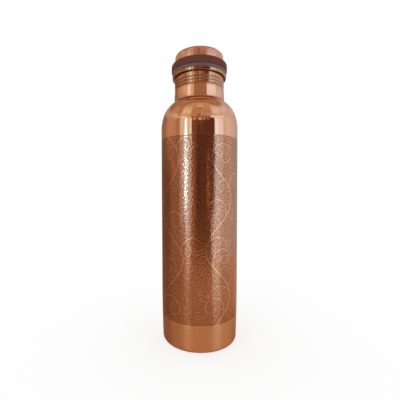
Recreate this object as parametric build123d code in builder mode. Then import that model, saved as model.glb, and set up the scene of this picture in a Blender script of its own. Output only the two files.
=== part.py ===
from build123d import *
from math import acos, asin, atan2, cos, degrees, radians, sin, sqrt
import os

# Copper water bottle with a screw-in plug cap. Millimetres, +Z up, origin at the centre of the foot.

# Sheet and barrel
sheet = 0.6  # copper wall everywhere
body_radius = 35.0
taper_top = 50.0  # below this height the drawn barrel narrows a little
taper_radius = 1314.0
base_corner = 3.5
base_recess = 2.4  # the base panel is pushed up this far, which leaves a ring to stand on
base_panel_radius = 24.0
base_step = 3.0  # bend radius at the panel's edge

# Shoulder and neck
shoulder_start = 192.6
shoulder_upper_bend = 22.8
shoulder_lower_bend = 37.4
shoulder_lower_angle = 20.0
neck_fillet = 2.6
neck_radius = 22.6
neck_flare_top = 229.0  # below this height the neck widens a little towards the shoulder
neck_flare_angle = 2.4
mouth_height = 241.9
lip_radius = 24.66
lip_corner = 0.95  # outside bend radius of the rolled lip
lip_low = 238.9

# Thread, right-hand, rolled into the neck
thread_lead = 2.7
thread_turns = 3
thread_low = 227.4
groove_radius = 0.9
groove_depth = 0.45
ridge_reach = 0.7  # how far the thread stands in from the neck's bore
ridge_half_crest = 0.35
ridge_half_root = 0.95

# Cap
cap_radius = 22.3
cap_height = 260.4
cap_corner = 3.1
flange_radius = 23.9
plug_radius = 20.95
plug_bottom = 225.5
plug_corner = 1.5
plug_thread_reach = 0.75
plug_turns = 3
plug_half_crest = 0.35
plug_half_root = 0.75

# Silicone rings
seal_gap = 0.05
seal_radius = 24.7
seal_bore = 21.3
seal_top = 244.15
seal_edge = 0.4
band_radius = 25.35
band_low = 244.2
band_top = 250.7
band_edge = 0.8
band_skirt = 1.3  # height of the bevel under the band's grip
band_skirt_radius = 24.75
fit_gap = 0.05  # between the band and the copper it is stretched over

os.makedirs("parts", exist_ok=True)

bore_radius = neck_radius - sheet

# Lower arc of the shoulder, then the upper arc that is tangent to it
lower_centre = (body_radius - shoulder_lower_bend, shoulder_start)
bend_change = shoulder_lower_bend - shoulder_upper_bend
upper_centre = (
    lower_centre[0] + bend_change * cos(radians(shoulder_lower_angle)),
    lower_centre[1] + bend_change * sin(radians(shoulder_lower_angle)),
)

# The fillet between the shoulder and the neck touches both. Its centre lies on a line beside the neck's
# flare, at the distance from the upper arc's centre where the two arcs touch.
flare_slope = radians(neck_flare_angle)
beside_flare = (
    neck_radius + neck_fillet * cos(flare_slope) - upper_centre[0],
    neck_flare_top + neck_fillet * sin(flare_slope) - upper_centre[1],
)
along_flare = beside_flare[0] * sin(flare_slope) - beside_flare[1] * cos(flare_slope)
off_flare = beside_flare[0] ** 2 + beside_flare[1] ** 2 - (shoulder_upper_bend + neck_fillet) ** 2
flare_length = -along_flare - sqrt(along_flare**2 - off_flare)
fillet_run = beside_flare[0] + flare_length * sin(flare_slope)
fillet_climb = beside_flare[1] - flare_length * cos(flare_slope)
fillet_centre = (upper_centre[0] + fillet_run, upper_centre[1] + fillet_climb)
shoulder_end_angle = degrees(atan2(fillet_climb, fillet_run))

# The taper's lowest point is where the base corner takes over, with no crease between them
taper_centre = (body_radius - taper_radius, taper_top)
taper_angle = degrees(asin((taper_top - base_corner) / (taper_radius - base_corner)))
corner_centre = (
    taper_centre[0] + (taper_radius - base_corner) * cos(radians(taper_angle)),
    base_corner,
)
step_angle = degrees(acos(1 - base_recess / (2 * base_step)))
step_run = 2 * base_step * sin(radians(step_angle))


def bottle_face(inset):
    """One face of the bottle's copper, from the base's centre to the lip: 0 is the outer face."""
    panel = Line((0, base_recess + inset), (base_panel_radius, base_recess + inset))
    CenterArc(
        (base_panel_radius, base_recess - base_step), base_step + inset, 90, -step_angle
    )
    foot = CenterArc(
        (base_panel_radius + step_run, base_step),
        base_step - inset,
        270 - step_angle,
        step_angle,
    )
    corner = CenterArc(corner_centre, base_corner - inset, -90, 90 - taper_angle)
    Line(foot @ 1, corner @ 0)
    taper = CenterArc(taper_centre, taper_radius - inset, -taper_angle, taper_angle)
    lower = CenterArc(lower_centre, shoulder_lower_bend - inset, 0, shoulder_lower_angle)
    Line(taper @ 1, lower @ 0)
    CenterArc(
        upper_centre,
        shoulder_upper_bend - inset,
        shoulder_lower_angle,
        shoulder_end_angle - shoulder_lower_angle,
    )
    neck_bend = CenterArc(
        fillet_centre,
        neck_fillet + inset,
        180 + shoulder_end_angle,
        neck_flare_angle - shoulder_end_angle,
    )
    neck = (neck_radius - inset, neck_flare_top)
    bend = lip_corner - sheet + inset
    lip_top = mouth_height - lip_corner
    bore_bend = CenterArc((bore_radius + lip_corner, lip_top), bend, 180, -90)
    upper_bend = CenterArc((lip_radius - lip_corner, lip_top), bend, 90, -90)
    lower_bend = CenterArc((lip_radius - lip_corner, lip_low + lip_corner), bend, 0, -90)
    Polyline(neck_bend @ 1, neck, bore_bend @ 0)
    Line(bore_bend @ 1, upper_bend @ 0)
    Line(upper_bend @ 1, lower_bend @ 0)
    return panel @ 0, lower_bend @ 1


def thread_section(root_radius, crest_radius, height, half_root, half_crest):
    """A thread's profile in the plane of the axis, with its middle at a height."""
    with BuildSketch(Plane.XZ) as section:
        with BuildLine():
            Polyline(
                (root_radius, height - half_root),
                (crest_radius, height - half_crest),
                (crest_radius, height + half_crest),
                (root_radius, height + half_root),
                close=True,
            )
        make_face()
    return section.sketch


# Bottle: one seamless copper shell, with the thread rolled through the neck's wall
with BuildPart() as body_shell:
    with BuildSketch(Plane.XZ):
        with BuildLine():
            outer_axis, outer_lip = bottle_face(0)
            inner_axis, inner_lip = bottle_face(sheet)
            Line(outer_axis, inner_axis)
            Line(outer_lip, inner_lip)
        make_face()
    revolve(axis=Axis.Z)
    with BuildLine(mode=Mode.PRIVATE) as thread_path:
        Helix(
            thread_lead,
            thread_lead * thread_turns,
            bore_radius,
            center=(0, 0, thread_low),
        )
    sweep(
        thread_section(
            bore_radius + sheet / 2,
            bore_radius - ridge_reach,
            thread_low,
            ridge_half_root,
            ridge_half_crest,
        ),
        path=thread_path.wires()[0],
        is_frenet=True,
    )
    with BuildSketch(Plane.XZ, mode=Mode.PRIVATE) as groove:
        with Locations((neck_radius + groove_radius - groove_depth, thread_low)):
            Circle(groove_radius)
    sweep(
        groove.sketch,
        path=thread_path.wires()[0],
        is_frenet=True,
        mode=Mode.SUBTRACT,
    )
body_shell.part.label = "body_shell"
export_step(body_shell.part, "parts/body_shell.step")

flange_low = band_low
flange_split = flange_low + sheet
flange_high = flange_split + sheet

# Cap: a plain copper cup, turned out at the bottom into a flange
with BuildPart() as cap_shell:
    with BuildSketch(Plane.XZ):
        with BuildLine():
            Polyline(
                (0, cap_height - sheet),
                (0, cap_height),
                (cap_radius - cap_corner, cap_height),
            )
            CenterArc((cap_radius - cap_corner, cap_height - cap_corner), cap_corner, 90, -90)
            Polyline(
                (cap_radius, cap_height - cap_corner),
                (cap_radius, flange_high),
                (flange_radius, flange_high),
                (flange_radius, flange_split),
                (cap_radius - sheet, flange_split),
                (cap_radius - sheet, cap_height - cap_corner),
            )
            CenterArc(
                (cap_radius - cap_corner, cap_height - cap_corner),
                cap_corner - sheet,
                0,
                90,
            )
            Line((cap_radius - cap_corner, cap_height - sheet), (0, cap_height - sheet))
        make_face()
    revolve(axis=Axis.Z)
cap_shell.part.label = "cap_shell"
export_step(cap_shell.part, "parts/cap_shell.step")

# Plug: a copper cup that screws into the neck, hung from its own flange under the cap's
with BuildPart() as cap_plug:
    with BuildSketch(Plane.XZ):
        with BuildLine():
            Polyline(
                (0, plug_bottom),
                (plug_radius - plug_corner, plug_bottom),
            )
            CenterArc((plug_radius - plug_corner, plug_bottom + plug_corner), plug_corner, -90, 90)
            Polyline(
                (plug_radius, plug_bottom + plug_corner),
                (plug_radius, flange_low),
                (flange_radius, flange_low),
                (flange_radius, flange_split),
                (plug_radius - sheet, flange_split),
                (plug_radius - sheet, plug_bottom + plug_corner),
            )
            CenterArc(
                (plug_radius - plug_corner, plug_bottom + plug_corner),
                plug_corner - sheet,
                0,
                -90,
            )
            Polyline(
                (plug_radius - plug_corner, plug_bottom + sheet),
                (0, plug_bottom + sheet),
                (0, plug_bottom),
            )
        make_face()
    revolve(axis=Axis.Z)
    # The plug's thread runs midway between the turns of the neck's
    plug_thread_low = thread_low + thread_lead / 2
    with BuildLine(mode=Mode.PRIVATE) as plug_path:
        Helix(
            thread_lead,
            thread_lead * plug_turns,
            plug_radius,
            center=(0, 0, plug_thread_low),
        )
    sweep(
        thread_section(
            plug_radius - sheet / 4,
            plug_radius + plug_thread_reach,
            plug_thread_low,
            plug_half_root,
            plug_half_crest,
        ),
        path=plug_path.wires()[0],
        is_frenet=True,
    )
cap_plug.part.label = "cap_plug"
export_step(cap_plug.part, "parts/cap_plug.step")

# Grip band: silicone, stretched over both flanges
with BuildPart() as grip_band:
    with BuildSketch(Plane.XZ):
        with BuildLine():
            Polyline(
                (flange_radius + fit_gap, band_low),
                (band_skirt_radius, band_low),
                (band_radius, band_low + band_skirt),
                (band_radius, band_top - band_edge),
            )
            CenterArc((band_radius - band_edge, band_top - band_edge), band_edge, 0, 90)
            Polyline(
                (band_radius - band_edge, band_top),
                (cap_radius + fit_gap, band_top),
                (cap_radius + fit_gap, flange_high),
                (flange_radius + fit_gap, flange_high),
                (flange_radius + fit_gap, band_low),
            )
        make_face()
    revolve(axis=Axis.Z)
grip_band.part.label = "grip_band"
export_step(grip_band.part, "parts/grip_band.step")

# Seal: a smooth silicone washer between the plug's flange and the bottle's rolled lip
with BuildPart() as seal_ring:
    with BuildSketch(Plane.XZ):
        with BuildLine():
            seal_low = mouth_height + seal_gap
            Polyline(
                (seal_bore, seal_low),
                (seal_radius, seal_low),
                (seal_radius, seal_top),
                (seal_bore, seal_top),
                close=True,
            )
        make_face()
    revolve(axis=Axis.Z)
    rims = seal_ring.edges().filter_by(GeomType.CIRCLE)
    fillet(rims.group_by(SortBy.RADIUS)[-1], seal_edge)
seal_ring.part.label = "seal_ring"
export_step(seal_ring.part, "parts/seal_ring.step")
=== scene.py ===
import math
import random

import bmesh
import bpy
import numpy as np
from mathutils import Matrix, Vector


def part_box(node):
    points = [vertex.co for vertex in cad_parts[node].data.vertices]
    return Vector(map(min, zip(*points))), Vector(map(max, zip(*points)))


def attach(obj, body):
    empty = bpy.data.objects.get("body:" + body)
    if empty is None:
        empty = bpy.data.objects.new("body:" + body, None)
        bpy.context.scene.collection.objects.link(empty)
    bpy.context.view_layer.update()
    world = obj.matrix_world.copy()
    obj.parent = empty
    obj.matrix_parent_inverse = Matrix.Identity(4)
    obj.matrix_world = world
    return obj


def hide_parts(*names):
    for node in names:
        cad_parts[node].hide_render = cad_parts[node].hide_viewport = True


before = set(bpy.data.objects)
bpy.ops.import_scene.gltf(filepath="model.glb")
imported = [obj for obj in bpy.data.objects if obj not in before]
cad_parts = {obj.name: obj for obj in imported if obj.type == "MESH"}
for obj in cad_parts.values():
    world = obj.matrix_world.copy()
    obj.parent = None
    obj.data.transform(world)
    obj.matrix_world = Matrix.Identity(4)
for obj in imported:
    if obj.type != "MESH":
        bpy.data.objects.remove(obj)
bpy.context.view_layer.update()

MM = 0.001
TURN = 2 * math.pi
ON_AXIS = 1e-6  # a smaller radius is the axis itself
NEAR = 0.1  # millimetres of slack when a point is told by where it is

# Sizes in millimetres. The outside sizes come from the frame. The others are part.py's, or are drawn here
# only: small bends, and the tenths of a millimetre that decide what each polished face mirrors.
SHEET = 0.6
BODY_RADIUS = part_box("body_shell")[1][0] / MM
MOUTH_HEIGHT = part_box("body_shell")[1][2] / MM
CAP_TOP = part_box("cap_shell")[1][2] / MM
FLANGE_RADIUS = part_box("cap_shell")[1][0] / MM
BAND_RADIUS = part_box("grip_band")[1][0] / MM
BAND_LOW, BAND_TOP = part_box("grip_band")[0][2] / MM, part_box("grip_band")[1][2] / MM
SEAL_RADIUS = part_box("seal_ring")[1][0] / MM
SEAL_LOW, SEAL_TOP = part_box("seal_ring")[0][2] / MM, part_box("seal_ring")[1][2] / MM
PLUG_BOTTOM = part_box("cap_plug")[0][2] / MM

TAPER_TOP, TAPER_RADIUS = 50.0, 1314.0
BASE_CORNER, BASE_RECESS, BASE_PANEL_RADIUS, BASE_STEP = 3.5, 2.4, 24.0, 3.0
SHOULDER_START, SHOULDER_LOWER_BEND, SHOULDER_UPPER_BEND = 192.6, 37.4, 22.8
SHOULDER_LOWER_ANGLE = 20.0
NECK_RADIUS, NECK_FILLET = 22.6, 2.6
NECK_FLARE_TOP, NECK_FLARE_ANGLE = 229.0, 2.4
NECK_WAIST = 0.20  # rolling the thread draws the neck in a little below it
LIP_RADIUS, LIP_CORNER, LIP_LOW = 24.66, 0.68, 238.9
LIP_LEAN = 0.12  # the rolled lip's face leans in a little towards the bottom
THREAD_LOW, THREAD_LEAD, THREAD_TURNS = 227.4, 2.7, 3.0
THREAD_DEPTH, THREAD_HALF = 0.45, 0.8
THREAD_RUN_IN = 0.15  # turns over which a thread fades in and out
CAP_RADIUS, CAP_CORNER = 22.3, 3.1
CAP_DRAFT = 0.15  # the pressed cup is this much narrower at its top
CAP_FLANGE_BEND = 0.6
PLUG_RADIUS, PLUG_CORNER = 20.95, 1.5
PLUG_THREAD_LOW, PLUG_THREAD_TURNS, PLUG_THREAD_REACH = THREAD_LOW + THREAD_LEAD / 2, 3.0, 0.72
BAND_SKIRT, BAND_SKIRT_INSET, BAND_SKIRT_BEND, BAND_EDGE = 1.3, 0.6, 0.3, 0.8
BAND_GRAIN = 0.07  # depth of its moulded grain
FIT_GAP = 0.05
SEAL_BORE, SEAL_EDGE = 21.3, 0.25

# The etched band on the barrel
ETCH_LOW, ETCH_HIGH = 23.8, 183.2
ETCH_DEPTH = 0.05
ETCH_EDGE = 0.16  # half the width of the slope between a line and the ground beside it
ETCH_MARGIN = 0.7  # the barrel's close rows go on this far past the band
COLUMNS = 480
ROW_STEP = 0.46
THREAD_ROW_STEP = 0.18
SMALL_COLUMNS = 256  # of the pieces with nothing etched
BAND_COLUMNS = 720


# ---------------------------------------------------------------- shapes

def around(centre, radius, angle):
    """The point at an angle on a circle."""
    return centre[0] + radius * math.cos(angle), centre[1] + radius * math.sin(angle)


def arc(centre, radius, start, sweep, step=6.0):
    """Points along an arc in the (radius, height) plane, angles in degrees, both ends included."""
    count = max(2, math.ceil(abs(sweep) / step)) + 1
    return [around(centre, radius, math.radians(start + sweep * i / (count - 1))) for i in range(count)]


def spaced(start, end, step):
    """Points from start to end, both included, no further apart than step."""
    count = max(1, math.ceil(math.dist(start, end) / step)) + 1
    return [
        (start[0] + (end[0] - start[0]) * i / (count - 1), start[1] + (end[1] - start[1]) * i / (count - 1))
        for i in range(count)
    ]


def without_repeats(points):
    """The points with those that repeat the one before them left out."""
    kept = [points[0]]
    for point in points[1:]:
        if math.dist(point, kept[-1]) > 1e-4:
            kept.append(point)
    return kept


def neck_fillet(upper_centre):
    """The centre of the bend between the shoulder and the neck, and the angle where it meets the shoulder.

    It touches both the shoulder's upper arc and the line of the neck's flare.
    """
    slope = math.radians(NECK_FLARE_ANGLE)
    beside = (
        NECK_RADIUS + NECK_FILLET * math.cos(slope) - upper_centre[0],
        NECK_FLARE_TOP + NECK_FILLET * math.sin(slope) - upper_centre[1],
    )
    along = beside[0] * math.sin(slope) - beside[1] * math.cos(slope)
    off = beside[0] ** 2 + beside[1] ** 2 - (SHOULDER_UPPER_BEND + NECK_FILLET) ** 2
    down = -along - math.sqrt(along**2 - off)
    run, climb = beside[0] + down * math.sin(slope), beside[1] - down * math.cos(slope)
    return (upper_centre[0] + run, upper_centre[1] + climb), math.degrees(math.atan2(climb, run))


def base_face(inset, step):
    """A face of the base and of the barrel's taper, from the axis to where the taper ends."""
    taper_centre = (BODY_RADIUS - TAPER_RADIUS, TAPER_TOP)
    taper_angle = math.degrees(math.asin((TAPER_TOP - BASE_CORNER) / (TAPER_RADIUS - BASE_CORNER)))
    taper_step = 0.04 * step  # degrees for about the same distance
    corner_radius = taper_centre[0] + (TAPER_RADIUS - BASE_CORNER) * math.cos(math.radians(taper_angle))
    step_angle = math.degrees(math.acos(1 - BASE_RECESS / (2 * BASE_STEP)))
    foot_centre = (BASE_PANEL_RADIUS + 2 * BASE_STEP * math.sin(math.radians(step_angle)), BASE_STEP)
    height = BASE_RECESS + inset
    face = spaced((0, height), (BASE_PANEL_RADIUS, height), 3.0)
    face += arc((BASE_PANEL_RADIUS, BASE_RECESS - BASE_STEP), BASE_STEP + inset, 90, -step_angle)
    face += arc(foot_centre, BASE_STEP - inset, 270 - step_angle, step_angle)
    face += arc((corner_radius, BASE_CORNER), BASE_CORNER - inset, -90, 90 - taper_angle, 3)
    face += arc(taper_centre, TAPER_RADIUS - inset, -taper_angle, taper_angle, taper_step)
    return face


def lip_face(inset):
    """A face of the lip, from the top of the neck, over the mouth and down to the lip's edge."""
    bend = LIP_CORNER - SHEET + inset
    lip_top, lip_foot = MOUTH_HEIGHT - LIP_CORNER, LIP_LOW + LIP_CORNER
    bore_side, outer_side = NECK_RADIUS - SHEET + LIP_CORNER, LIP_RADIUS - LIP_CORNER
    side = LIP_RADIUS - SHEET + inset
    face = arc((bore_side, lip_top), bend, 180, -90, 15)
    face += arc((outer_side, lip_top), bend, 90, -90, 10)
    face += spaced((side, lip_top), (side - LIP_LEAN, lip_foot), 0.3)
    face += arc((outer_side - LIP_LEAN, lip_foot), bend, 0, -90, 10)
    return face


def bottle_face(inset, step):
    """One face of the bottle's copper, from the base's centre to the lip: 0 is the outer face."""
    lower_centre = (BODY_RADIUS - SHOULDER_LOWER_BEND, SHOULDER_START)
    change = SHOULDER_LOWER_BEND - SHOULDER_UPPER_BEND
    upper_centre = around(lower_centre, change, math.radians(SHOULDER_LOWER_ANGLE))
    fillet_centre, shoulder_end = neck_fillet(upper_centre)
    upper_sweep = shoulder_end - SHOULDER_LOWER_ANGLE
    barrel = BODY_RADIUS - inset

    face = base_face(inset, step)
    face += spaced((barrel, TAPER_TOP), (barrel, SHOULDER_START), step)
    face += arc(lower_centre, SHOULDER_LOWER_BEND - inset, 0, SHOULDER_LOWER_ANGLE, 2)
    face += arc(upper_centre, SHOULDER_UPPER_BEND - inset, SHOULDER_LOWER_ANGLE, upper_sweep, 2)
    face += arc(fillet_centre, NECK_FILLET + inset, 180 + shoulder_end, NECK_FLARE_ANGLE - shoulder_end)
    face += spaced(face[-1], (NECK_RADIUS - NECK_WAIST - inset, NECK_FLARE_TOP), 0.24)
    face += spaced(face[-1], (NECK_RADIUS - inset, MOUTH_HEIGHT - LIP_CORNER), THREAD_ROW_STEP)
    return without_repeats(face + lip_face(inset))


def barrel_radius(height):
    """The barrel's outer radius at a height: straight, with a slight taper towards the base."""
    if height >= TAPER_TOP:
        return BODY_RADIUS
    return BODY_RADIUS - TAPER_RADIUS + math.sqrt(TAPER_RADIUS**2 - (TAPER_TOP - height) ** 2)


def smooth(low, high, value):
    """0 below low, 1 above high, and an S-curve between."""
    t = np.clip((value - low) / (high - low), 0, 1)
    return t * t * (3 - 2 * t)


def plateau(rise, fall, value):
    """0 at first, up to 1 over the first range, and back to 0 over the second."""
    return smooth(*rise, value) * (1 - smooth(*fall, value))


def thread(heights, angles, low, turns, half_width):
    """How deep a one-start right-hand thread is at each height and angle, from 0 to 1."""
    part_turn = angles / TURN
    nearest = np.round((heights - low) / THREAD_LEAD - part_turn)
    along = nearest + part_turn
    across = np.abs(heights - low - along * THREAD_LEAD) / half_width
    run_in = plateau((0, THREAD_RUN_IN), (turns - THREAD_RUN_IN, turns), along)
    return run_in * np.where(across < 1, 0.5 + 0.5 * np.cos(math.pi * np.minimum(across, 1)), 0)


def laid_out(outline, columns):
    """An outline's radii and heights, each as a column of numbers, and the angles round it as a row."""
    outline = np.array(outline)
    return outline[:, :1], outline[:, 1:], np.arange(columns)[None, :] * TURN / columns


def turned(name, outline, columns, relief=0.0):
    """A closed mesh turned about the axis. relief is how far each point stands out of the outline."""
    radii, heights, angles = laid_out(outline, columns)
    on_axis = radii[:, 0] < ON_AXIS
    radii = radii + relief
    grid = np.broadcast_arrays(radii * np.cos(angles), radii * np.sin(angles), heights)
    first, coordinates = [], []
    for row, is_pole in zip(np.stack(grid, -1) * MM, on_axis):
        first.append(len(coordinates))
        coordinates.extend(row[:1] if is_pole else row)
    here = np.arange(columns)
    after = (here + 1) % columns
    faces = []
    for low in range(len(outline)):
        high = (low + 1) % len(outline)
        lower, upper = first[low], first[high]
        if on_axis[low] and on_axis[high]:
            continue
        if on_axis[low]:
            faces += [(lower, upper + b, upper + a) for a, b in zip(here, after)]
        elif on_axis[high]:
            faces += [(lower + a, lower + b, upper) for a, b in zip(here, after)]
        else:
            faces += np.stack([lower + here, lower + after, upper + after, upper + here], -1).tolist()
    mesh = bpy.data.meshes.new(name)
    mesh.from_pydata(coordinates, [], faces)
    mesh.shade_smooth()
    mesh.update()
    piece = bpy.data.objects.new(name, mesh)
    bpy.context.scene.collection.objects.link(piece)
    return piece


def add_values(piece, outline, name, values):
    """Gives every vertex of a turned piece a number that its material can read."""
    rows = np.broadcast_to(values, (len(outline), COLUMNS))
    kept = [row[:1] if point[0] < ON_AXIS else row for point, row in zip(outline, rows)]
    layer = piece.data.attributes.new(name, "FLOAT", "POINT")
    layer.data.foreach_set("value", np.concatenate(kept).astype(np.float32))


# ---------------------------------------------------------------- the etched vine

class Engraving:
    """The vine's raised lines, kept as the distance from every point of the band to the nearest one.

    A place is (millimetres round the barrel, height). The distance is below 0 on a line.
    """

    REACH = 6.0  # longer distances aren't kept
    BORDER = 0.4  # plain edge at the band's top and bottom

    def __init__(self, heights, chance):
        self.heights = heights
        self.chance = chance
        self.width = TURN * BODY_RADIUS
        self.pitch = self.width / COLUMNS
        self.row_pitch = (heights[-1] - heights[0]) / (len(heights) - 1)
        border = np.minimum(heights - ETCH_LOW, ETCH_HIGH - heights) - self.BORDER
        self.distance = np.repeat(np.minimum(border[:, None], self.REACH), COLUMNS, axis=1)

    def segment(self, start, end, start_half, end_half):
        """Raises a straight stroke whose half width changes evenly from end to end."""
        reach = self.REACH
        row_low = int((min(start[1], end[1]) - reach - self.heights[0]) / self.row_pitch)
        row_high = int((max(start[1], end[1]) + reach - self.heights[0]) / self.row_pitch) + 1
        row_low, row_high = max(row_low, 0), min(row_high, len(self.heights))
        if row_low >= row_high:
            return
        column_low = math.floor((min(start[0], end[0]) - reach) / self.pitch)
        column_high = math.ceil((max(start[0], end[0]) + reach) / self.pitch)
        columns = np.arange(column_low, column_high + 1)
        across = (columns * self.pitch)[None, :] - start[0]
        up = self.heights[row_low:row_high][:, None] - start[1]
        run, rise = end[0] - start[0], end[1] - start[1]
        length = run * run + rise * rise
        is_dot = length < 1e-9
        share = 0 * across * up if is_dot else np.clip((across * run + up * rise) / length, 0, 1)
        gap = np.hypot(across - share * run, up - share * rise)
        gap -= start_half + (end_half - start_half) * share
        columns = columns % COLUMNS
        if columns[0] < columns[-1]:
            where = (slice(row_low, row_high), slice(columns[0], columns[-1] + 1))
        else:  # it crosses the seam where the band's ends meet
            where = np.ix_(range(row_low, row_high), columns)
        self.distance[where] = np.minimum(self.distance[where], gap)

    def line(self, points, start_half, end_half):
        """Raises a stroke through all the points."""
        count = len(points) - 1
        for i in range(count):
            widths = [start_half + (end_half - start_half) * (i + k) / count for k in (0, 1)]
            self.segment(points[i], points[i + 1], *widths)

    def dot(self, centre, radius):
        self.segment(centre, centre, radius, radius)

    def room(self, point):
        """How far a point is from the nearest raised line, in millimetres; below 0 outside the band."""
        row = round((point[1] - self.heights[0]) / self.row_pitch)
        if not 0 <= row < len(self.heights):
            return -1.0
        return self.distance[row, round(point[0] / self.pitch) % COLUMNS]

    def widest_gap(self):
        """The place furthest from every line, and how far that is."""
        row, column = np.unravel_index(np.argmax(self.distance), self.distance.shape)
        return (column * self.pitch, self.heights[row]), self.distance[row, column]

    def nearest(self, centre, room):
        """The direction from a gap's centre in which the nearest line lies."""
        ring = np.arange(0, TURN, TURN / 24)
        rooms = [self.room(around(centre, room * 0.8, a)) for a in ring]
        return ring[int(np.argmin(rooms))]

    def free_length(self, points, clear, release):
        """How many of the points, from the first on, stay clear of everything engraved so far.

        The first millimetres, up to release, lie against the parent line and aren't tested.
        """
        run = 0.0
        for i in range(1, len(points)):
            run += math.dist(points[i - 1], points[i])
            if run > release and self.room(points[i]) < clear:
                return i
        return len(points)


LEAD_STEP = 0.7
POINTS_A_TURN = 30
GAP_BESIDE_SHOOT = 0.58
RETRY_STEP = 1.4  # how far on the next try is, where no shoot fits
STEM_COUNT, STEM_SWING = 5, 0.8
STEM_HALF, STEM_FOOT_HALF, STEM_TIP_HALF = 0.64, 0.68, 0.6
BOUGH_FLOWER, TWIG_BUD = 2.3, 0.62
GAP_FLOWERS, LEAST_FLOWER_ROOM, LARGEST_FLOWER = 8, 4.2, 4.6
LEAF_LEAN, LEAF_LENGTHS = 0.95, (2.2, 3.2)
LEAST_GAP = 0.98


def scroll_points(start, heading, side, first_radius, last_radius, turns, lead):
    """A line that sets out along heading and winds in to one side, its bend tightening all the way."""
    points, headings = [start], [heading]
    steps = max(6, int(turns * POINTS_A_TURN))
    for _ in range(int(lead / LEAD_STEP)):
        points.append(around(points[-1], LEAD_STEP, heading))
        headings.append(heading)
    for i in range(steps):
        radius = first_radius * (last_radius / first_radius) ** ((i + 0.5) / steps)
        turn = TURN * turns / steps
        heading += side * turn
        points.append(around(points[-1], radius * turn, heading))
        headings.append(heading)
    return points, headings


def flower(art, centre, radius, turn):
    """A dot with petals round it: five, or six on a large one."""
    petals = 5 if radius < 3.4 else 6
    art.dot(centre, radius * 0.2)
    for k in range(petals):
        angle = turn + TURN * k / petals
        root, tip = around(centre, radius * 0.5, angle), around(centre, radius * 0.74, angle)
        art.segment(root, tip, radius * 0.13, radius * 0.25)


def leaf(art, root, heading, length, half=0.36):
    """A teardrop leaf on a short stalk. half is half its width over its length."""
    bend = art.chance.choice((-0.3, 0.3))
    neck = around(root, length * 0.3, heading)
    belly = around(neck, length * 0.3, heading + bend)
    tip = around(belly, length * 0.4, heading + bend * 2)
    art.line([root, neck], 0.2, 0.22)
    art.line([neck, belly], 0.25, length * half * 0.75)
    art.line([belly, tip], length * half * 0.75, 0.12)


def main_stems(art):
    """The wavy stems that climb the barrel. A line is its points, its headings there and its half width."""
    lines = []
    for stem in range(STEM_COUNT):
        phase = stem * TURN * 0.37 + art.chance.uniform(-0.3, 0.3)
        wave = art.chance.uniform(72, 96)
        x, z = stem * art.width / STEM_COUNT, ETCH_LOW - 1
        points, headings = [], []
        while z < ETCH_HIGH + 1:
            heading = math.pi / 2 + STEM_SWING * math.sin(TURN * z / wave + phase)
            points.append((x, z))
            headings.append(heading)
            x, z = around((x, z), 1.0, heading)
        drift = (points[-1][0] - points[0][0]) / len(points)
        points = [(p[0] - drift * i, p[1]) for i, p in enumerate(points)]
        art.line(points, STEM_FOOT_HALF, STEM_TIP_HALF)
        lines.append((points, headings, STEM_HALF))
    return lines


def longest_shoot(art, root, heading, side, radii, turns, half, lean, lead, shrink):
    """The longest of a few side shoots: its length, points, headings, whether it is whole, and its side."""
    best = None
    for way in (side, -side):
        curls = (way, -way) if lean > 0.5 else (way,)
        for radius in sorted((art.chance.uniform(*radii) for _ in range(3)), reverse=True):
            for curl in curls:
                wound = turns * art.chance.uniform(0.85, 1.1)
                leaving = heading + way * lean
                points, headings = scroll_points(root, leaving, curl, radius, radius * shrink, wound, lead)
                free = art.free_length(points, half + GAP_BESIDE_SHOOT, 1.2 + 1.3 / lean)
                length = free * math.dist(points[2], points[3])
                if best is None or length > best[0]:
                    best = (length, points[:free], headings[:free], free == len(points), way)
    return best


def branch(art, lines, spacing, half, shortest, tip=None, **shape):
    """Adds side shoots along lines, about spacing apart, wherever one longer than shortest fits.

    tip draws what ends a shoot that is whole. shape is what longest_shoot takes: radii is the range of the
    first bend, shrink is the last bend's share of it, turns is how far a shoot winds, lean is its angle to
    its parent in radians, and lead is how far it runs straight.
    """
    made = []
    for points, headings, _ in lines:
        at = art.chance.uniform(0.3, 0.8) * spacing
        side = art.chance.choice((-1, 1))
        run = 0.0
        for i in range(1, len(points) - 1):
            run += math.dist(points[i - 1], points[i])
            if run < at:
                continue
            length, shoot, bearings, whole, way = longest_shoot(
                art, points[i], headings[i], side, half=half, **shape
            )
            if length <= shortest:
                at = run + RETRY_STEP
                continue
            art.line(shoot, half, half * 0.7)
            if whole and tip:
                tip(art, shoot[-1], bearings[-1])
            else:
                art.dot(shoot[-1], half * 1.5)
            made.append((shoot, bearings, half))
            side = -way
            at = run + spacing * art.chance.uniform(0.8, 1.25)
    return made


def add_leaves(art, lines):
    """Adds leaves on both sides of lines, where there is room."""
    for points, headings, half in lines:
        side = 1
        for i in range(2, len(points) - 1, 2):
            for way in (side, -side):
                heading = headings[i] + way * LEAF_LEAN
                length = art.chance.uniform(*LEAF_LENGTHS)
                middle = around(points[i], half + length * 0.62, heading)
                if art.room(middle) > length * 0.30 + 0.3:
                    leaf(art, points[i], heading, half + length)
                    side = -way


def fill_gaps(art):
    """Puts a flower, a leaf or a dot into each gap, the widest first."""
    centre, room = art.widest_gap()
    while room >= LEAST_GAP:
        toward = art.nearest(centre, room)
        radius = room - 0.5
        if radius > 1.7:
            flower(art, centre, radius, art.chance.uniform(0, TURN))
        elif radius > 0.7:
            leaf(art, around(centre, radius, toward + 0.3), toward + math.pi + 0.3, radius * 2, 0.3)
        else:
            art.dot(centre, radius)
        centre, room = art.widest_gap()


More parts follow.
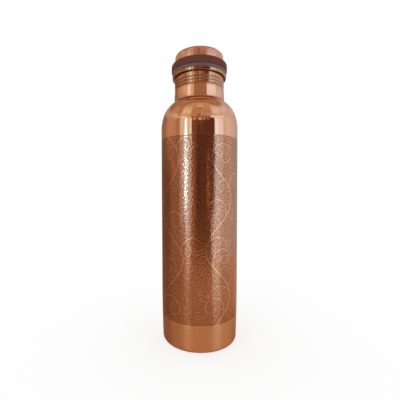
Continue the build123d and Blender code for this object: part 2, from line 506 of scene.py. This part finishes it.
def grow(art):
    """Draws the whole vine, the boldest lines first.

    It returns the distances to the nearest line as they are when the bold lines are drawn, and when the
    middle ones are too.
    """

    def bloom(art, point, heading):
        flower(art, point, BOUGH_FLOWER, heading)

    def bud(art, point, heading):
        art.dot(point, TWIG_BUD)

    stems = main_stems(art)
    boughs = branch(art, stems, 24, half=0.55, shortest=18, tip=bloom,
                    radii=(9, 14), turns=1.1, lean=0.25, lead=2.0, shrink=0.25)
    for _ in range(GAP_FLOWERS):
        centre, room = art.widest_gap()
        if room < LEAST_FLOWER_ROOM:
            break
        flower(art, centre, min(room - 0.7, LARGEST_FLOWER), art.chance.uniform(0, TURN))
    bold = art.distance.copy()
    twigs = branch(art, stems + boughs, 10, half=0.46, shortest=8, tip=bud,
                   radii=(4.5, 7.5), turns=0.95, lean=0.4, lead=0.0, shrink=0.25)
    middle = art.distance.copy()
    twigs += branch(art, boughs + twigs, 7.5, half=0.38, shortest=5, tip=bud,
                    radii=(3.2, 5), turns=0.85, lean=0.5, lead=0.0, shrink=0.3)
    curls = branch(art, stems + boughs + twigs, 5.2, half=0.34, shortest=3,
                   radii=(1.9, 3.2), turns=0.75, lean=0.6, lead=0.0, shrink=0.4)
    add_leaves(art, stems + boughs + twigs + curls)
    fill_gaps(art)
    return bold, middle


def etched_ground(heights):
    """How far each point of the barrel is etched, and how bold the line is that stands there, if one does.

    The first is 0 on a raised line or outside the band, and 1 on the ground.
    """
    art = Engraving(heights, random.Random(7))
    bold, middle = grow(art)
    ground, off_bold, off_middle = (smooth(-ETCH_EDGE, ETCH_EDGE, d) for d in (art.distance, bold, middle))
    in_band = plateau((ETCH_LOW - 0.1, ETCH_LOW + 0.3), (ETCH_HIGH - 0.2, ETCH_HIGH + 0.2), heights)
    return ground * in_band[:, None], 1 - 0.5 * off_bold - 0.5 * off_middle


# ---------------------------------------------------------------- pieces

def make_bottle():
    """The bottle: etched barrel, plain shoulder, rolled thread and rolled lip, with its inside."""
    outer, inner = bottle_face(0, 4.0), bottle_face(SHEET, 16.0)
    # Where the barrel is etched, it gets close rows of its own
    low, high = ETCH_LOW - ETCH_MARGIN, ETCH_HIGH + ETCH_MARGIN
    heights = np.linspace(low, high, round((high - low) / ROW_STEP) + 1)
    below = [p for p in outer if p[1] <= low - ETCH_MARGIN]
    above = outer[len(below):]
    above = above[next(i for i, p in enumerate(above) if p[1] >= high + ETCH_MARGIN):]
    outline = below + [(barrel_radius(h), h) for h in heights] + above + inner[::-1]

    etch, bold = np.zeros((2, len(outline), COLUMNS))
    rows = slice(len(below), len(below) + len(heights))
    etch[rows], bold[rows] = etched_ground(heights)
    radii, tall, angles = laid_out(outline, COLUMNS)
    groove = thread(tall, angles, THREAD_LOW, THREAD_TURNS, THREAD_HALF) * (radii < NECK_RADIUS + NEAR)
    on_lip = (tall > LIP_LOW - NEAR) & (radii > NECK_RADIUS - SHEET + NEAR)
    inside = (np.arange(len(outline))[:, None] >= len(outline) - len(inner)) & ~on_lip
    in_band = plateau((ETCH_LOW + 0.2, ETCH_LOW + 0.8), (ETCH_HIGH - 0.3, ETCH_HIGH + 0.3), tall)
    outer_neck = radii > NECK_RADIUS - THREAD_DEPTH

    piece = turned("bottle", outline, COLUMNS, -THREAD_DEPTH * groove - ETCH_DEPTH * etch)
    add_values(piece, outline, "etch", etch)
    add_values(piece, outline, "bold", bold)
    # painted shade: darker, less glossy copper in the thread's grooves, by the neck and lip, in the channel
    # under the lip and in the crease at the neck's foot
    add_values(piece, outline, "painted_shade", np.maximum(0.75 * groove, painted_shade_at(radii, tall) * outer_neck))
    add_values(piece, outline, "satin", 1 - smooth(ETCH_LOW - 1.1, ETCH_LOW - 0.4, tall))
    add_values(piece, outline, "inside", inside)
    add_values(piece, outline, "band", in_band * ~inside)
    return piece


def painted_shade_at(radii, heights):
    """Painted shade on the copper, which also makes it less glossy: a little by the thread and the lip, more
    in the crease at the neck's foot.
    """
    outside_lip = radii > LIP_RADIUS - SHEET + NEAR
    threaded = smooth(NECK_FLARE_TOP - 2.5, NECK_FLARE_TOP - 0.5, heights)
    neck = (radii < NECK_RADIUS + NEAR) * (heights < LIP_LOW) * threaded
    shoulder = (heights > SHOULDER_START) * (heights < NECK_FLARE_TOP)
    crease = plateau((NECK_RADIUS + 0.3, NECK_RADIUS + 0.8), (NECK_RADIUS + 2.4, NECK_RADIUS + 4.0), radii)
    lip = outside_lip * (heights > LIP_LOW - NEAR) * (heights < MOUTH_HEIGHT - 0.05)
    channel = ~outside_lip * (heights >= LIP_LOW)  # between the rolled lip and the neck
    # painted shade: darker copper on the threaded neck, the lip, the channel under it and the crease, where
    # shade and dark reflections fall
    return np.maximum.reduce((0.45 * neck, 0.9 * crease * shoulder, 0.55 * lip, 0.28 * channel))


def make_cap():
    """The copper cup on top, turned out at the bottom into the flange that the band hides."""
    top = CAP_RADIUS - CAP_DRAFT
    corner = (top - CAP_CORNER, CAP_TOP - CAP_CORNER)
    split, high = BAND_LOW + SHEET, BAND_LOW + 2 * SHEET
    bend = CAP_FLANGE_BEND
    outline = spaced((0, CAP_TOP), (corner[0], CAP_TOP), 1.5)
    outline += arc(corner, CAP_CORNER, 90, -90, 5)
    outline += spaced((top, corner[1]), (CAP_RADIUS, high + bend), 1.0)
    outline += arc((CAP_RADIUS + bend, high + bend), bend, 180, 90, 15)
    outline += [(FLANGE_RADIUS, high), (FLANGE_RADIUS, split), (CAP_RADIUS - SHEET, split)]
    outline += spaced((CAP_RADIUS - SHEET, split), (top - SHEET, corner[1]), 4.0)
    outline += arc(corner, CAP_CORNER - SHEET, 0, 90, 10)
    outline += [(0, CAP_TOP - SHEET)]
    return turned("cap", without_repeats(outline), SMALL_COLUMNS)


def make_plug():
    """The threaded cup inside the neck."""
    corner = (PLUG_RADIUS - PLUG_CORNER, PLUG_BOTTOM + PLUG_CORNER)
    split = BAND_LOW + SHEET
    outline = spaced((0, PLUG_BOTTOM), (corner[0], PLUG_BOTTOM), 2.5)
    outline += arc(corner, PLUG_CORNER, -90, 90, 10)
    outline += spaced((PLUG_RADIUS, corner[1]), (PLUG_RADIUS, BAND_LOW), 0.22)
    outline += [(FLANGE_RADIUS, BAND_LOW), (FLANGE_RADIUS, split), (PLUG_RADIUS - SHEET, split)]
    outline += spaced((PLUG_RADIUS - SHEET, split), (PLUG_RADIUS - SHEET, corner[1]), 4.0)
    outline += arc(corner, PLUG_CORNER - SHEET, 0, -90, 15)
    outline += [(0, PLUG_BOTTOM + SHEET)]
    outline = without_repeats(outline)[::-1]
    radii, heights, angles = laid_out(outline, SMALL_COLUMNS)
    ridge = thread(heights, angles, PLUG_THREAD_LOW, PLUG_THREAD_TURNS, THREAD_HALF)
    on_wall = np.abs(radii - PLUG_RADIUS) < 0.01
    return turned("plug", outline, SMALL_COLUMNS, PLUG_THREAD_REACH * ridge * on_wall)


def make_band():
    """The brown silicone band with its fine moulded grain."""
    skirt = BAND_RADIUS - BAND_SKIRT_INSET
    skirt_bend = (skirt - BAND_SKIRT_BEND, BAND_LOW + BAND_SKIRT_BEND)
    inner, flange, split = CAP_RADIUS + FIT_GAP, FLANGE_RADIUS + FIT_GAP, BAND_LOW + 2 * SHEET
    corner = (BAND_RADIUS - BAND_EDGE, BAND_TOP - BAND_EDGE)
    grip_low = BAND_LOW + BAND_SKIRT
    outline = [(flange, BAND_LOW), (skirt_bend[0], BAND_LOW)]
    outline += arc(skirt_bend, BAND_SKIRT_BEND, -90, 65, 20)
    outline += spaced((skirt - 0.02, BAND_LOW + 0.2), (BAND_RADIUS, grip_low), 0.25)
    outline += spaced((BAND_RADIUS, grip_low), (BAND_RADIUS, corner[1]), 0.2)
    outline += arc(corner, BAND_EDGE, 0, 90, 10)
    outline += spaced((corner[0], BAND_TOP), (inner + 0.2, BAND_TOP), 0.3)
    outline += [(inner, BAND_TOP - 0.2), (inner, split), (flange, split)]
    outline = without_repeats(outline)
    radii, heights, _ = laid_out(outline, BAND_COLUMNS)
    grain = np.random.default_rng(11).random((len(outline), BAND_COLUMNS))
    outside = (radii > BAND_RADIUS - 0.15) & (heights < BAND_TOP - 0.3)
    return turned("band", outline, BAND_COLUMNS, -BAND_GRAIN * grain * outside)


def make_seal():
    """The smooth washer under the band."""
    side = SEAL_RADIUS - SEAL_EDGE
    outline = [(SEAL_BORE, SEAL_LOW), (side, SEAL_LOW)]
    outline += arc((side, SEAL_LOW + SEAL_EDGE), SEAL_EDGE, -90, 90, 15)
    outline += arc((side, SEAL_TOP - SEAL_EDGE), SEAL_EDGE, 0, 90, 15)
    outline += [(SEAL_BORE, SEAL_TOP)]
    return turned("seal", without_repeats(outline), SMALL_COLUMNS)


# ---------------------------------------------------------------- materials

class Shader:
    """A material whose nodes are added one call at a time."""

    def __init__(self, name):
        self.material = bpy.data.materials.new(name)
        self.material.use_nodes = True
        self.tree = self.material.node_tree
        self.surface = self.tree.nodes["Principled BSDF"]

    def node(self, kind, inputs=None, **settings):
        """Adds a node. Each of its inputs is a number, a colour or another node's output."""
        made = self.tree.nodes.new(kind)
        for key, value in settings.items():
            setattr(made, key, value)
        for key, value in (inputs or {}).items():
            self.fill(made.inputs[key], value)
        return made

    def fill(self, socket, value):
        if isinstance(value, bpy.types.NodeSocket):
            self.tree.links.new(value, socket)
        else:
            socket.default_value = value

    def where(self):
        return self.node("ShaderNodeTexCoord").outputs["Object"]

    def value(self, name):
        return self.node("ShaderNodeAttribute", attribute_name=name).outputs["Fac"]

    def noise(self, where, scale, detail):
        inputs = {"Vector": where, "Scale": scale, "Detail": detail, "Roughness": 0.55}
        return self.node("ShaderNodeTexNoise", inputs).outputs["Fac"]

    def rings(self, where):
        """The fine rings round the axis that spinning and polishing leave."""
        flat = self.node("ShaderNodeMapping", {"Vector": where, "Scale": (1.0, 1.0, 14.0)}).outputs["Vector"]
        return self.noise(flat, 260.0, 2.0)

    def mix(self, share, first, second):
        """first where share is 0 and second where it is 1. Both are colours or both are numbers."""
        is_colour = isinstance(first, tuple) or getattr(first, "type", "") == "RGBA"
        kind, at = ("RGBA", (6, 7)) if is_colour else ("FLOAT", (2, 3))
        inputs = {0: share, at[0]: first, at[1]: second}
        made = self.node("ShaderNodeMix", inputs, data_type=kind)
        return made.outputs[2 if is_colour else 0]

    def spread(self, value, low, high, to_low, to_high, curve="LINEAR"):
        """The value's range from low to high, moved to the range from to_low to to_high."""
        inputs = {"Value": value, "From Min": low, "From Max": high, "To Min": to_low, "To Max": to_high}
        return self.node("ShaderNodeMapRange", inputs, interpolation_type=curve).outputs["Result"]

    def maths(self, operation, *values):
        return self.node("ShaderNodeMath", dict(enumerate(values)), operation=operation).outputs[0]

    def set(self, **inputs):
        """Sets the surface's sockets: Base_Color=... is its Base Color."""
        for key, value in inputs.items():
            self.fill(self.surface.inputs[key.replace("_", " ")], value)

    def bump(self, height, distance):
        inputs = {"Height": height, "Distance": distance}
        self.fill(self.surface.inputs["Normal"], self.node("ShaderNodeBump", inputs).outputs["Normal"])

    def show(self, output):
        """Makes an output the material's surface, instead of the one it starts with."""
        self.fill(self.tree.nodes["Material Output"].inputs["Surface"], output)


POLISHED = (0.94, 0.56, 0.37, 1)
TARNISHED = (0.86, 0.46, 0.27, 1)
STEM = (0.84, 0.49, 0.32, 1)  # the vine's bold lines
LINE = (0.68, 0.36, 0.22, 1)  # its fine ones
ETCHED = (0.54, 0.265, 0.15, 1)
PIT = (0.44, 0.205, 0.11, 1)
SATIN = (0.88, 0.50, 0.30, 1)
INSIDE = (0.80, 0.43, 0.27, 1)
# painted shade: the dark copper blended in where shade is painted
SHADED_COPPER = (0.30, 0.13, 0.07, 1)
CAP = (0.84, 0.47, 0.345, 1)
CAP_DARK = (0.74, 0.385, 0.27, 1)
BAND, BAND_LIGHT = (0.087, 0.022, 0.0135, 1), (0.145, 0.038, 0.0235, 1)
SEAL, SEAL_LIGHT = (0.105, 0.068, 0.072, 1), (0.13, 0.084, 0.088, 1)

# Noise scales of the finest detail
PITS, BAND_GRAINS = 2600.0, 1400.0


def bottle_copper():
    """Polished copper, darker and pitted where it is etched, satin below the etched band, with painted shade
    by the thread, the lip and the crease at the neck's foot.
    """
    shader = Shader("bottle_copper")
    where = shader.where()
    cloud, rings = shader.noise(where, 38.0, 4.0), shader.rings(where)
    pits = shader.spread(shader.noise(where, PITS, 2.0), 0.49, 0.59, 0.0, 1.0)
    etch, satin, inside, in_band, painted_shade, bold = (
        shader.value(name) for name in ("etch", "satin", "inside", "band", "painted_shade", "bold")
    )
    colour = shader.mix(shader.spread(cloud, 0.35, 0.75, 0.0, 0.6), POLISHED, TARNISHED)
    # painted shade: the copper is darkened where shade and dark reflections fall in the thread, the lip and
    # the neck's crease
    colour = shader.mix(painted_shade, colour, SHADED_COPPER)
    ground = shader.mix(pits, ETCHED, PIT)
    colour = shader.mix(in_band, colour, shader.mix(etch, shader.mix(bold, LINE, STEM), ground))
    colour = shader.mix(satin, colour, SATIN)
    colour = shader.mix(inside, colour, INSIDE)
    rough = shader.spread(rings, 0.3, 0.7, 0.05, 0.085)
    rough = shader.mix(painted_shade, rough, 0.15)
    rough = shader.mix(in_band, rough, shader.mix(etch, 0.09, shader.mix(pits, 0.10, 0.42)))
    rough = shader.mix(satin, rough, shader.spread(rings, 0.3, 0.7, 0.24, 0.28))
    rough = shader.mix(inside, rough, 0.32)
    shader.set(Base_Color=colour, Roughness=rough, Metallic=1.0)
    return shader.material


def cap_copper():
    """Polished copper with the fine rings that spinning leaves."""
    shader = Shader("cap_copper")
    where = shader.where()
    cloud = shader.noise(where, 60.0, 3.0)
    colour = shader.mix(shader.spread(cloud, 0.35, 0.75, 0.0, 0.6), CAP, CAP_DARK)
    rough = shader.spread(shader.rings(where), 0.3, 0.7, 0.07, 0.13)
    shader.set(Base_Color=colour, Roughness=rough, Metallic=1.0)
    return shader.material


def plug_copper():
    """Satin copper, as it comes from the press."""
    shader = Shader("plug_copper")
    cloud = shader.noise(shader.where(), 90.0, 4.0)
    colour = shader.mix(shader.spread(cloud, 0.3, 0.7, 0.0, 1.0), TARNISHED, INSIDE)
    shader.set(Base_Color=colour, Roughness=shader.spread(cloud, 0.3, 0.7, 0.2, 0.3), Metallic=1.0)
    return shader.material


def band_silicone():
    """Dark brown silicone with a fine grain."""
    shader = Shader("band_silicone")
    grain = shader.noise(shader.where(), BAND_GRAINS, 3.0)
    colour = shader.mix(shader.spread(grain, 0.3, 0.7, 0.0, 1.0), BAND, BAND_LIGHT)
    shader.set(Base_Color=colour, Roughness=0.6, Specular_IOR_Level=0.25)
    shader.bump(grain, 0.06 * MM)
    return shader.material


def seal_silicone():
    """Smooth grey-brown silicone."""
    shader = Shader("seal_silicone")
    cloud = shader.noise(shader.where(), 200.0, 2.0)
    colour = shader.mix(shader.spread(cloud, 0.3, 0.7, 0.0, 1.0), SEAL, SEAL_LIGHT)
    shader.set(Base_Color=colour, Roughness=0.38)
    return shader.material


def dress(piece, material, node, body):
    """Gives a piece its material and its place in the part."""
    piece.data.materials.append(material)
    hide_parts(node)
    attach(piece, body)


# ---------------------------------------------------------------- studio

# What the copper mirrors. Directions are degrees round from the camera's side (+ to its right) and degrees
# up, both seen from half the bottle's height. First the walls, which blend from one direction to the next.
WALLS = [
    (-180, (0.30, 0.21, 0.16)),
    (-115, (0.30, 0.18, 0.12)),
    (-85, (0.45, 0.28, 0.19)),
    (-30, (0.45, 0.28, 0.19)),
    (30, (0.75, 0.75, 0.78)),
    (95, (0.72, 0.70, 0.74)),
    (140, (0.50, 0.45, 0.48)),
    (180, (0.30, 0.21, 0.16)),
]
ROOM_RADIUS, ROOM_CENTRE = 1.3, 0.13
TABLE_TOP, TABLE_SOFTNESS, TABLE = -14.5, 5.0, (0.46, 0.275, 0.165)
WINDOW_TOP = 27.2
# A beam crosses the ceiling almost straight above the bottle, so many degrees up from the camera's side
BEAM, BEAM_WIDTH = 80.0, 4.0
BEAM_COLOUR, PAST_BEAM = (0.20, 0.11, 0.06, 1), (0.42, 0.27, 0.165, 1)
# The panels in front of the walls, each one over those before it: from and to round, softness; from and
# to up, softness below and above; colour.
PANELS = [
    ((-200, -95, 12), (-40, 10, 4, 6), (0.22, 0.125, 0.08)),  # left wall, low
    ((-95, -58, 8), (-40, 6, 4, 6), (0.39, 0.235, 0.155)),
    ((-115, -74, 14), (10, 60, 4, 10), (0.51, 0.345, 0.235)),  # left wall, high
    ((-74, -61, 1), (4, 50, 3, 15), (0.42, 0.25, 0.17)),
    ((-60, -45, 3.0), (-5, 90, 8, 8), (0.76, 0.72, 0.66)),  # curtain
    ((-45, -37.5, 0.8), (10, WINDOW_TOP, 3, 3), (1.12, 1.80, 2.4)),  # left window, upper part
    ((-46, -38, 0.8), (-3, 11, 6, 6), (2.5, 4.6, 7.7)),  # left window
    ((-37.5, -28.5, 0.8), (-8, WINDOW_TOP, 8, 3), (0.72, 0.74, 0.68)),  # its frame
    ((-28.3, -25.2, 0.6), (-6, WINDOW_TOP, 8, 3), (1.1, 1.30, 1.2)),  # its narrow pane
    ((-38, -26, 1), (-3, 13, 6, 3), (0.86, 1.02, 1.1)),
    ((43, 56, 1.5), (-10, WINDOW_TOP, 8, 4), (0.95, 1.20, 1.60)),  # right window
    ((56, 71, 1.0), (-10, WINDOW_TOP, 8, 4), (0.88, 1.00, 1.18)),  # its curtain
    ((71.5, 74, 1.0), (-10, 60, 8, 2), (0.52, 0.42, 0.35)),  # its frame
    ((-62, -27, 6), (WINDOW_TOP, 90, 2, 9), (0.80, 0.70, 0.50)),  # wall over the left window
    ((-50, -27, 4), (WINDOW_TOP, 34, 2, 4), (0.95, 0.88, 0.64)),
    ((38, 70, 5), (WINDOW_TOP, 90, 2, 9), (0.80, 0.78, 0.80)),  # wall over the right window
    ((-29, 5, 5), (WINDOW_TOP, 90, 2, 9), (0.47, 0.30, 0.20)),  # wall over the dark room
    ((5, 40, 5), (WINDOW_TOP, 90, 2, 9), (0.49, 0.33, 0.25)),
    # The walls between the windows and the frieze
    ((-200, -90, 6), (28, 32.4, 2, 1), (0.54, 0.40, 0.27)),
    ((-86, -56, 6), (28, 32.4, 2, 1), (0.68, 0.56, 0.42)),
    ((-58, -42, 3), (28, 32.4, 0.6, 0.5), (0.90, 0.97, 0.98)),
    ((-42, -27, 4), (28, 32.4, 0.6, 0.5), (0.68, 0.57, 0.44)),
    ((-27, 32, 3), (WINDOW_TOP, 32.4, 1, 0.5), (0.35, 0.195, 0.115)),
    ((32, 80, 2), (28, 32.4, 0.6, 0.5), (0.86, 0.98, 1.10)),
    ((80, 200, 3), (28, 32.4, 0.6, 0.5), (0.65, 0.61, 0.57)),
    ((-200, -42, 8), (32.4, 36, 1, 6), (0.60, 0.46, 0.36)),  # frieze above the walls
    ((-98, -76, 8), (32.4, 36, 1, 6), (0.70, 0.68, 0.64)),
    ((-52, 20, 8), (32.4, 36, 0.8, 6), (0.52, 0.35, 0.27)),
    ((20, 200, 8), (32.4, 36, 0.8, 6), (0.60, 0.47, 0.43)),
    ((45, 140, 20), (32.4, 36, 0.8, 6), (0.64, 0.60, 0.60)),
    ((-9, 0, 3), (32.4, 38, 0.5, 2), (0.31, 0.16, 0.095)),
    ((-200, 200, 1), (54, 95, 10, 1), (0.56, 0.395, 0.26)),  # ceiling
    ((-9, 13, 4), (57, 65, 3, 3), (0.78, 0.60, 0.44)),  # ceiling lamp
    ((-3, 4, 2), (49, 55, 1.5, 1.5), (0.26, 0.16, 0.09)),
    ((-23.5, 41.5, 0.8), (-60, WINDOW_TOP, 1, 0.6), (0.11, 0.045, 0.028)),  # dark room beyond the camera
    ((-23.5, 41.5, 0.8), (-60, 12, 1, 2), (0.135, 0.064, 0.044)),
    ((-23.5, 36, 2), (-60, -3, 1, 5), (0.17, 0.078, 0.046)),
    ((-23.5, -11, 1.5), (-60, WINDOW_TOP - 1, 1, 1), (0.20, 0.08, 0.045)),  # door beside it
    ((-23.5, -13, 2.5), (-60, 13, 3, 2), (0.36, 0.155, 0.085)),
    ((0, 5, 1.5), (14, WINDOW_TOP - 1, 1, 1), (0.155, 0.058, 0.034)),
    ((-22, 12, 3), (19, WINDOW_TOP, 4, 1), (0.23, 0.088, 0.036)),
    ((20, 24, 1.0), (-3, 9, 3, 3), (0.75, 0.28, 0.065)),  # warm lamp
    ((-9, -3.5, 1.0), (-5, 8, 4, 4), (0.075, 0.030, 0.045)),
    ((-20, -13, 0.8), (22.3, 26.2, 1.2, 0.5), (0.80, 0.56, 0.38)),  # high panes
    ((-5, 5, 0.8), (22.3, 26.2, 1.2, 0.5), (0.85, 0.66, 0.55)),
    ((10, 14, 0.8), (22.3, 26.2, 1.2, 0.5), (0.75, 0.56, 0.45)),
    ((19, 25, 1.0), (21.5, 26.2, 1.2, 0.5), (0.38, 0.22, 0.12)),
    ((33, 60, 3), (-60, -5, 1, 4), (0.98, 1.05, 1.2)),  # right window low down
    ((-43, -30, 3), (-60, -6, 1, 4), (1.05, 1.12, 1.25)),  # left window low down
]
# The same for what lies on the table
TABLE_GLOW = [
    ((-200, -58, 12), (-90, -8, 1, 3), (0.37, 0.215, 0.13)),
    ((-200, -98, 14), (-90, -8, 1, 3), (0.25, 0.14, 0.08)),
    ((110, 200, 15), (-90, -10, 1, 3), (0.33, 0.185, 0.10)),
    ((-20, 36, 4), (-28, -10, 5, 3), (0.52, 0.32, 0.205)),
    ((62, 160, 8), (-27, -8, 4, 3), (0.58, 0.40, 0.29)),
    ((-46, -29, 5), (-45, -10, 12, 3), (0.57, 0.405, 0.27)),
    ((40, 66, 5), (-45, -10, 12, 3), (0.57, 0.43, 0.34)),
    ((-43, -30, 3), (-20, -5, 5, 3), (0.80, 0.67, 0.58)),
    ((36, 60, 3), (-25, -5, 5, 3), (0.88, 0.85, 0.90)),
]


def room_material():
    """The room that the copper mirrors: walls, windows, a dark room behind the camera, ceiling and table."""
    shader = Shader("room")

    def degrees(opposite, adjacent):
        return shader.maths("MULTIPLY", shader.maths("ARCTAN2", opposite, adjacent), 360 / TURN)

    def edge(value, place, softness):
        return shader.spread(value, place - softness, place + softness, 0.0, 1.0, "SMOOTHSTEP")

    def between(value, low, high, low_softness, high_softness):
        below_high = shader.maths("SUBTRACT", 1.0, edge(value, high, high_softness))
        return shader.maths("MULTIPLY", edge(value, low, low_softness), below_high)

    def with_panels(colour, panels):
        for (left, right, side), (low, high, below, above), paint in panels:
            across = between(azimuth, left, right, side, side)
            mask = shader.maths("MULTIPLY", across, between(elevation, low, high, below, above))
            colour = shader.mix(mask, colour, (*paint, 1))
        return colour

    x, y, z = shader.node("ShaderNodeSeparateXYZ", {0: shader.where()}).outputs
    forward = shader.maths("MULTIPLY", y, -1.0)
    squares = shader.maths("ADD", shader.maths("POWER", x, 2.0), shader.maths("POWER", y, 2.0))
    azimuth = degrees(x, forward)
    elevation = degrees(z, shader.maths("SQRT", squares))
    lean = degrees(z, forward)

    ramp = shader.node("ShaderNodeValToRGB", {"Fac": shader.spread(azimuth, -180.0, 180.0, 0.0, 1.0)})
    elements = ramp.color_ramp.elements
    while len(elements) < len(WALLS):
        elements.new(0.5)
    for element, (round_from_camera, paint) in zip(elements, WALLS):
        element.position, element.color = (round_from_camera + 180) / 360, (*paint, 1)
    colour = with_panels(ramp.outputs["Color"], PANELS)
    high = edge(elevation, 56.0, 8.0)
    for place, paint in ((BEAM, BEAM_COLOUR), (BEAM + BEAM_WIDTH, PAST_BEAM)):
        colour = shader.mix(shader.maths("MULTIPLY", high, edge(lean, place, 1.5)), colour, paint)
    table = with_panels((*TABLE, 1), TABLE_GLOW)
    colour = shader.mix(edge(elevation, TABLE_TOP, TABLE_SOFTNESS), table, colour)
    shader.show(shader.node("ShaderNodeEmission", {"Color": colour}).outputs[0])
    shader.tree.nodes.remove(shader.surface)
    return shader.material


def floor_material():
    """Matt and nearly white round the bottle, fading into the white of the background."""
    shader = Shader("floor")
    shader.set(Base_Color=(0.95, 0.95, 0.95, 1), Roughness=0.9, Specular_IOR_Level=0.0)
    distance = shader.node("ShaderNodeVectorMath", {0: shader.where()}, operation="LENGTH").outputs["Value"]
    fade = shader.spread(distance, 0.03, 0.4, 0.7, 1.0, "SMOOTHSTEP")
    white = shader.node("ShaderNodeEmission").outputs[0]
    inputs = {0: fade, 1: shader.surface.outputs[0], 2: white}
    shader.show(shader.node("ShaderNodeMixShader", inputs).outputs[0])
    return shader.material


def add_to_stage(name, shape, height, material, seen_by):
    """Adds a stage object from a bmesh, at a height. Only the kinds of ray in seen_by see it."""
    mesh = bpy.data.meshes.new(name)
    shape.to_mesh(mesh)
    shape.free()
    item = bpy.data.objects.new(name, mesh)
    item.location = (0, 0, height)
    bpy.context.scene.collection.objects.link(item)
    material.cycles.emission_sampling = "NONE"  # it shines only where it is seen
    mesh.materials.append(material)
    for kind in ("camera", "diffuse", "glossy", "transmission", "volume_scatter", "shadow"):
        setattr(item, "visible_" + kind, kind in seen_by)


def make_room():
    """A large sphere round the bottle that only reflections see."""
    shape = bmesh.new()
    bmesh.ops.create_icosphere(shape, subdivisions=6, radius=ROOM_RADIUS)
    add_to_stage("room", shape, ROOM_CENTRE, room_material(), ("glossy",))


def make_floor():
    """A pale floor, which reflections don't see because the room has a table there."""
    shape = bmesh.new()
    bmesh.ops.create_circle(shape, cap_ends=True, radius=9.0, segments=96)
    add_to_stage("floor", shape, 0, floor_material(), ("camera", "diffuse"))


def light_scene():
    """An even white world for the background and the soft light, and one large soft lamp."""
    world = bpy.data.worlds.new("studio")
    bpy.context.scene.world = world
    world.use_nodes = True
    world.node_tree.nodes["Background"].inputs["Color"].default_value = (1, 1, 1, 1)
    world.cycles_visibility.glossy = False
    lamp = bpy.data.lights.new("key", "AREA")
    lamp.shape, lamp.size, lamp.energy = "DISK", 1.2, 4.0
    key = bpy.data.objects.new("key", lamp)
    key.location = (-1.2, -1.4, 1.6)
    key.rotation_euler = (math.radians(48), 0, math.radians(-40))
    key.visible_glossy = False
    bpy.context.scene.collection.objects.link(key)


def make_camera():
    """A close, wide camera at half the bottle's height, a little to its left and tilted down."""
    data = bpy.data.cameras.new("camera")
    data.lens, data.sensor_width = 25.14, 36.0
    data.shift_x, data.shift_y = 0.0368, 0.0158
    camera = bpy.data.objects.new("camera", data)
    camera.location = (-0.01315, -0.26262, 0.1329)
    camera.rotation_euler = (math.radians(90 - 2.2), math.radians(0.14), 0)
    bpy.context.scene.collection.objects.link(camera)
    bpy.context.scene.camera = camera


make_camera()
make_room()
make_floor()
light_scene()
bpy.context.scene.view_settings.view_transform = "Standard"

dress(make_bottle(), bottle_copper(), "body_shell", "bottle")
dress(make_cap(), cap_copper(), "cap_shell", "cap")
dress(make_plug(), plug_copper(), "cap_plug", "cap")
dress(make_band(), band_silicone(), "grip_band", "cap")
dress(make_seal(), seal_silicone(), "seal_ring", "seal")
